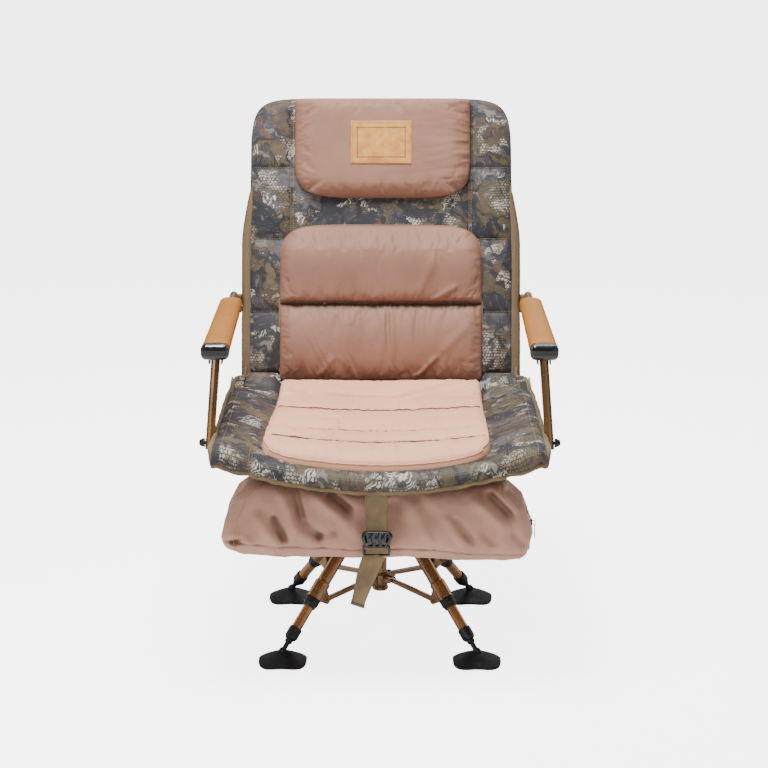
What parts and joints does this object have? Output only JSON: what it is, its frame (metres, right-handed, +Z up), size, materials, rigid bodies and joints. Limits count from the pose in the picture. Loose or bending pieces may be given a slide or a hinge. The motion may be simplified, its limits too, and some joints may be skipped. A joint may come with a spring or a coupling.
{
  "type": "blind swivel chair",
  "caption": "Folding camouflage blind chair with padded seat, back, headrest and arms, a storage bag, and a swivel on splayed telescoping legs with tilting foot pads.",
  "frame": {"origin": "on the ground, in the middle of the chair's footprint; the swivel axis stands 23 mm in front of it", "axes": "+Z up, parallel to the swivel axis, -Y towards the front of the seat, +X to the sitter's left (the right-hand side of a front view)"},
  "size_m": [0.6428, 0.672, 0.9819],
  "materials": {
    "bronze": "satin metallic brown powder coat",
    "black_plastic": "satin black moulding",
    "gloss_cap": "glossy black moulding",
    "rubber": "matte black rubber",
    "camo_cloth": null,
    "taupe_cloth": "plain taupe woven polyester",
    "arm_cloth": "tan padded sleeve",
    "khaki_webbing": "khaki woven webbing",
    "patch_leather": "blank tan leatherette patch",
    "zip_metal": "grey metal"
  },
  "bodies": {
    "base": {"centre_post": "bronze", "post_end_cap": "bronze", "leg_hub": "bronze", "swivel_lower": "bronze"},
    "collar": {"link_collar": "bronze"},
    "leg_1": {"leg_tube_1": "bronze"},
    "lock_1": {"lock_collar_1": "black_plastic"},
    "shin_1": {"inner_leg_1": "bronze", "foot_socket_1": "black_plastic"},
    "foot_1": {"foot_pad_1": "rubber"},
    "strut_1": {"brace_1": "bronze"},
    "leg_2": {"leg_tube_2": "bronze"},
    "lock_2": {"lock_collar_2": "black_plastic"},
    "shin_2": {"inner_leg_2": "bronze", "foot_socket_2": "black_plastic"},
    "foot_2": {"foot_pad_2": "rubber"},
    "strut_2": {"brace_2": "bronze"},
    "leg_3": {"leg_tube_3": "bronze"},
    "lock_3": {"lock_collar_3": "black_plastic"},
    "shin_3": {"inner_leg_3": "bronze", "foot_socket_3": "black_plastic"},
    "foot_3": {"foot_pad_3": "rubber"},
    "strut_3": {"brace_3": "bronze"},
    "leg_4": {"leg_tube_4": "bronze"},
    "lock_4": {"lock_collar_4": "black_plastic"},
    "shin_4": {"inner_leg_4": "bronze", "foot_socket_4": "black_plastic"},
    "foot_4": {"foot_pad_4": "rubber"},
    "strut_4": {"brace_4": "bronze"},
    "seat": {"swivel_top_plate": "bronze", "seat_frame": "bronze", "seat_crossbar_front": "bronze", "seat_crossbar_rear": "bronze", "seat_sling": "camo_cloth", "seat_pad": "taupe_cloth", "storage_bag": "taupe_cloth", "front_strap": "khaki_webbing", "buckle_socket": "black_plastic", "back_hinge_left": "bronze", "back_hinge_right": "bronze"},
    "knob_left": {"arm_knob_left": "black_plastic"},
    "knob_right": {"arm_knob_right": "black_plastic"},
    "zip": {"zipper_pull": "zip_metal"},
    "buckle": {"buckle_plug": "black_plastic", "strap_tail": "khaki_webbing"},
    "back": {"back_frame": "bronze", "back_panel": "camo_cloth", "back_pad": "taupe_cloth", "headrest_pillow": "taupe_cloth", "label_patch": "patch_leather"},
    "post_left": {"arm_post_left": "bronze"},
    "arm_left": {"arm_rail_left": "bronze", "arm_pad_left": "arm_cloth", "arm_end_cap_left": "gloss_cap"},
    "post_right": {"arm_post_right": "bronze"},
    "arm_right": {"arm_rail_right": "bronze", "arm_pad_right": "arm_cloth", "arm_end_cap_right": "gloss_cap"}
  },
  "joints": [
    {"name": "leg_fold_1", "type": "hinge", "parent": "base", "child": "leg_1", "pos_m": [-0.02546, -0.0484, 0.25], "axis": [0.7071, -0.7071, 0], "range_deg": [0, 18]},
    {"name": "brace_swing_1", "type": "hinge", "parent": "leg_1", "child": "strut_1", "pos_m": [-0.10288, -0.12582, 0.095], "axis": [0.7071, -0.7071, 0], "range_deg": [0, 33.8]},
    {"name": "leg_lock_1", "type": "hinge", "parent": "leg_1", "child": "lock_1", "pos_m": [-0.12736, -0.1503, 0.09767], "axis": [-0.486, -0.486, -0.7264], "range_deg": [0, 90]},
    {"name": "leg_extend_1", "type": "slide", "parent": "leg_1", "child": "shin_1", "axis": [-0.486, -0.486, -0.7264], "range_m": [-0.04, 0.08]},
    {"name": "foot_tilt_1", "type": "hinge", "parent": "shin_1", "child": "foot_1", "pos_m": [-0.17798, -0.20092, 0.022], "axis": [0.7071, -0.7071, 0], "range_deg": [-18, 18]},
    {"name": "leg_fold_2", "type": "hinge", "parent": "base", "child": "leg_2", "pos_m": [0.02546, -0.0484, 0.25], "axis": [0.7071, 0.7071, 0], "range_deg": [0, 18]},
    {"name": "brace_swing_2", "type": "hinge", "parent": "leg_2", "child": "strut_2", "pos_m": [0.10288, -0.12582, 0.095], "axis": [0.7071, 0.7071, 0], "range_deg": [0, 33.8]},
    {"name": "leg_lock_2", "type": "hinge", "parent": "leg_2", "child": "lock_2", "pos_m": [0.12736, -0.1503, 0.09767], "axis": [0.486, -0.486, -0.7264], "range_deg": [0, 90]},
    {"name": "leg_extend_2", "type": "slide", "parent": "leg_2", "child": "shin_2", "axis": [0.486, -0.486, -0.7264], "range_m": [-0.04, 0.08]},
    {"name": "foot_tilt_2", "type": "hinge", "parent": "shin_2", "child": "foot_2", "pos_m": [0.17798, -0.20092, 0.022], "axis": [0.7071, 0.7071, 0], "range_deg": [-18, 18]},
    {"name": "leg_fold_3", "type": "hinge", "parent": "base", "child": "leg_3", "pos_m": [-0.02546, 0.00252, 0.25], "axis": [-0.7071, -0.7071, 0], "range_deg": [0, 18]},
    {"name": "brace_swing_3", "type": "hinge", "parent": "leg_3", "child": "strut_3", "pos_m": [-0.10288, 0.07994, 0.095], "axis": [-0.7071, -0.7071, 0], "range_deg": [0, 33.8]},
    {"name": "leg_lock_3", "type": "hinge", "parent": "leg_3", "child": "lock_3", "pos_m": [-0.12736, 0.10442, 0.09767], "axis": [-0.486, 0.486, -0.7264], "range_deg": [0, 90]},
    {"name": "leg_extend_3", "type": "slide", "parent": "leg_3", "child": "shin_3", "axis": [-0.486, 0.486, -0.7264], "range_m": [-0.04, 0.08]},
    {"name": "foot_tilt_3", "type": "hinge", "parent": "shin_3", "child": "foot_3", "pos_m": [-0.17798, 0.15504, 0.022], "axis": [-0.7071, -0.7071, 0], "range_deg": [-18, 18]},
    {"name": "leg_fold_4", "type": "hinge", "parent": "base", "child": "leg_4", "pos_m": [0.02546, 0.00252, 0.25], "axis": [-0.7071, 0.7071, 0], "range_deg": [0, 18]},
    {"name": "brace_swing_4", "type": "hinge", "parent": "leg_4", "child": "strut_4", "pos_m": [0.10288, 0.07994, 0.095], "axis": [-0.7071, 0.7071, 0], "range_deg": [0, 33.8]},
    {"name": "leg_lock_4", "type": "hinge", "parent": "leg_4", "child": "lock_4", "pos_m": [0.12736, 0.10442, 0.09767], "axis": [0.486, 0.486, -0.7264], "range_deg": [0, 90]},
    {"name": "leg_extend_4", "type": "slide", "parent": "leg_4", "child": "shin_4", "axis": [0.486, 0.486, -0.7264], "range_m": [-0.04, 0.08]},
    {"name": "foot_tilt_4", "type": "hinge", "parent": "shin_4", "child": "foot_4", "pos_m": [0.17798, 0.15504, 0.022], "axis": [-0.7071, 0.7071, 0], "range_deg": [-18, 18]},
    {"name": "collar_slide", "type": "slide", "parent": "base", "child": "collar", "axis": [0, 0, 1], "range_m": [0, 0.06]},
    {"name": "seat_swivel", "type": "hinge", "parent": "base", "child": "seat", "pos_m": [0, -0.02294, 0.33], "axis": [0, 0, 1], "continuous": true},
    {"name": "back_fold", "type": "hinge", "parent": "seat", "child": "back", "pos_m": [0, 0.18406, 0.437], "axis": [1, 0, 0], "range_deg": [0, 70]},
    {"name": "post_swing_left", "type": "hinge", "parent": "seat", "child": "post_left", "pos_m": [-0.3025, -0.22794, 0.425], "axis": [1, 0, 0], "range_deg": [0, 70]},
    {"name": "arm_swing_left", "type": "hinge", "parent": "post_left", "child": "arm_left", "pos_m": [-0.2915, -0.18912, 0.56989], "axis": [1, 0, 0], "range_deg": [-70, 0]},
    {"name": "knob_turn_left", "type": "hinge", "parent": "seat", "child": "knob_left", "pos_m": [-0.311, -0.22794, 0.425], "axis": [1, 0, 0], "continuous": true},
    {"name": "post_swing_right", "type": "hinge", "parent": "seat", "child": "post_right", "pos_m": [0.3025, -0.22794, 0.425], "axis": [1, 0, 0], "range_deg": [0, 70]},
    {"name": "arm_swing_right", "type": "hinge", "parent": "post_right", "child": "arm_right", "pos_m": [0.2915, -0.18912, 0.56989], "axis": [1, 0, 0], "range_deg": [-70, 0]},
    {"name": "knob_turn_right", "type": "hinge", "parent": "seat", "child": "knob_right", "pos_m": [0.311, -0.22794, 0.425], "axis": [1, 0, 0], "continuous": true},
    {"name": "zip_slide", "type": "slide", "parent": "seat", "child": "zip", "axis": [0, 0, 1], "range_m": [0, 0.05]},
    {"name": "buckle_release", "type": "slide", "parent": "seat", "child": "buckle", "axis": [0, 0, -1], "range_m": [0, 0.03]}
  ],
  "couplings": [
    {"joint": "brace_swing_1", "follows": "leg_fold_1", "ratio": 1.8698},
    {"joint": "leg_fold_2", "follows": "leg_fold_1", "ratio": 1},
    {"joint": "brace_swing_2", "follows": "leg_fold_1", "ratio": 1.8698},
    {"joint": "leg_fold_3", "follows": "leg_fold_1", "ratio": 1},
    {"joint": "brace_swing_3", "follows": "leg_fold_1", "ratio": 1.8698},
    {"joint": "leg_fold_4", "follows": "leg_fold_1", "ratio": 1},
    {"joint": "brace_swing_4", "follows": "leg_fold_1", "ratio": 1.8698},
    {"joint": "collar_slide", "follows": "leg_fold_1", "m_per_rad": 0.19028},
    {"joint": "post_swing_left", "follows": "back_fold", "ratio": 1},
    {"joint": "arm_swing_left", "follows": "back_fold", "ratio": -1},
    {"joint": "post_swing_right", "follows": "back_fold", "ratio": 1},
    {"joint": "arm_swing_right", "follows": "back_fold", "ratio": -1}
  ]
}
